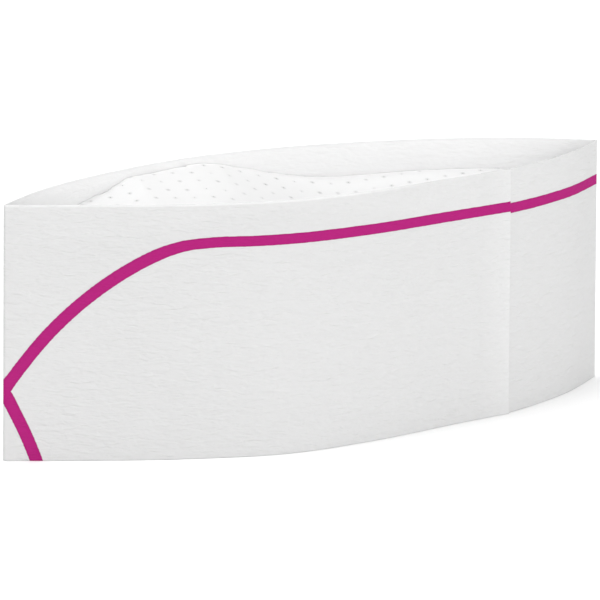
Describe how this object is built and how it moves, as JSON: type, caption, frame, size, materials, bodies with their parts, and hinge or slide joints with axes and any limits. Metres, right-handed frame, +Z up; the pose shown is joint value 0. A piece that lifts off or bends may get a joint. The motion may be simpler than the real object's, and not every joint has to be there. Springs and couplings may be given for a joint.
{
  "type": "disposable paper forage cap for food hygiene",
  "caption": "Boat-shaped open paper cap with a tall upright crepe band, folded front and back, a coloured stripe and a perforated tissue crown sunk inside the band.",
  "frame": {"origin": "middle of the bounding box at the bottom rim, which the cap stands on", "axes": "+X towards the back fold, -X towards the front fold, +Y towards the wearer's right, +Z up through the open top"},
  "size_m": [0.283, 0.0971, 0.104],
  "materials": {
    "band_paper": "matt white crepe paper with fine crosswise ripples and one printed magenta stripe",
    "crown_tissue": "matt white tissue, softly wrinkled and perforated in a square lattice"
  },
  "bodies": {
    "root": {"outer_band": "band_paper", "crown": "crown_tissue"}
  },
  "joints": []
}
